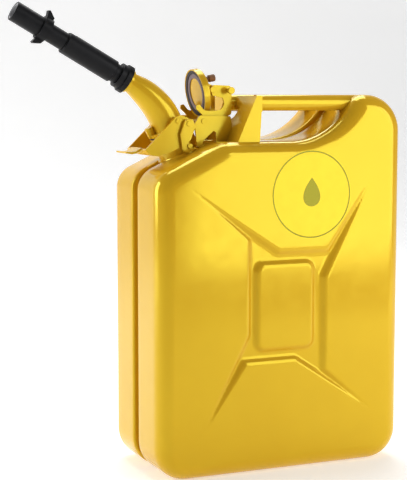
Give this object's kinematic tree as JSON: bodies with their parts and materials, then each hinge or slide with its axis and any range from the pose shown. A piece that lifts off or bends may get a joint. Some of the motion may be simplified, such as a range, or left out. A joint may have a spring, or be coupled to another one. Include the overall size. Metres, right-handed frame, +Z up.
{
  "type": "jerry can",
  "caption": "Pressed-steel fuel can with a channelled seam, crossed side pressings, triple carrying bars, an open cam-lever lid and a clamped pouring spout with a sliding nozzle tip.",
  "frame": {"origin": "centre of the can's base, on the ground", "axes": "+X from the spout end to the back of the can, +Y across it to the right-hand panel, +Z up"},
  "size_m": [0.4926, 0.1612, 0.5784],
  "materials": {
    "body_paint": "glossy enamel",
    "trim_paint": "glossy enamel",
    "bracket_paint": "semi-gloss enamel",
    "bare_steel": "dull zinc plate",
    "black_rubber": "matte",
    "brown_rubber": "matte",
    "retainer_grey": "satin",
    "black_plastic": "satin moulded",
    "pale_plastic": "satin moulded",
    "label_film": "printed film"
  },
  "bodies": {
    "can": {"shell_left": "body_paint", "shell_right": "body_paint", "seam_weld": "body_paint", "handle_bar_left": "body_paint", "handle_bar_centre": "body_paint", "handle_bar_right": "body_paint", "handle_bracket": "bracket_paint", "neck_tube": "body_paint", "neck_skirt": "body_paint", "neck_studs": "trim_paint", "hinge_ear_left": "trim_paint", "hinge_ear_right": "trim_paint", "hinge_pin": "trim_paint", "hinge_washers": "trim_paint", "breather_tube": "bare_steel", "spout_gasket": "black_rubber", "spout_base": "trim_paint", "spout_horn": "trim_paint", "vent_boss": "trim_paint", "clamp_pivots": "trim_paint", "hook_pivots": "trim_paint", "nozzle_grip": "black_plastic", "valve_stem": "pale_plastic", "valve_spider": "black_plastic", "nozzle_spring": "bare_steel", "label_disc": "label_film"},
    "lever": {"lid_lever": "trim_paint", "lid_pin": "trim_paint"},
    "lid": {"lid_cap": "trim_paint", "lid_gasket": "black_rubber", "lid_retainer": "retainer_grey", "lid_lugs": "trim_paint", "lid_bumper": "brown_rubber"},
    "locking_pin": {"lock_pin": "trim_paint"},
    "clamp": {"clamp_lever": "trim_paint"},
    "hook_left": {"clamp_hook_left": "trim_paint"},
    "hook_right": {"clamp_hook_right": "trim_paint"},
    "lock_ring": {"nozzle_flange": "black_plastic"},
    "tip": {"nozzle_slider": "black_plastic", "slider_seal": "black_rubber", "hook_collar": "black_plastic", "tip_tube": "black_plastic", "tip_liner": "pale_plastic"}
  },
  "joints": [
    {"name": "lid_swing", "type": "hinge", "parent": "can", "child": "lever", "pos_m": [-0.0885, 0, 0.4374], "axis": [0, -1, 0], "range_deg": [0, 16]},
    {"name": "lid_rock", "type": "hinge", "parent": "lever", "child": "lid", "pos_m": [-0.07443, 0, 0.47587], "axis": [0, 1, 0], "range_deg": [0, 3]},
    {"name": "lock_pin_slide", "type": "slide", "parent": "lever", "child": "locking_pin", "axis": [0, -1, 0], "range_m": [0, 0.008]},
    {"name": "clamp_swing", "type": "hinge", "parent": "can", "child": "clamp", "pos_m": [-0.12249, 0, 0.43759], "axis": [0, 1, 0], "range_deg": [0, 50]},
    {"name": "hook_left_swing", "type": "hinge", "parent": "can", "child": "hook_left", "pos_m": [-0.11004, 0, 0.43456], "axis": [0, 1, 0], "range_deg": [0, 24.01]},
    {"name": "hook_right_swing", "type": "hinge", "parent": "can", "child": "hook_right", "pos_m": [-0.11004, 0, 0.43456], "axis": [0, 1, 0], "range_deg": [0, 24.01]},
    {"name": "lock_ring_turn", "type": "hinge", "parent": "can", "child": "lock_ring", "pos_m": [-0.18338, 0, 0.49087], "axis": [-0.8686, 0, 0.4955], "range_deg": [0, 40]},
    {"name": "tip_slide", "type": "slide", "parent": "can", "child": "tip", "axis": [0.8686, 0, -0.4955], "range_m": [0, 0.012], "stiffness_N_per_m": 500, "springref_m": -0.008, "deforming": ["nozzle_spring"]}
  ],
  "couplings": [
    {"joint": "hook_left_swing", "follows": "clamp_swing", "ratio": 0.48},
    {"joint": "hook_right_swing", "follows": "clamp_swing", "ratio": 0.48}
  ]
}
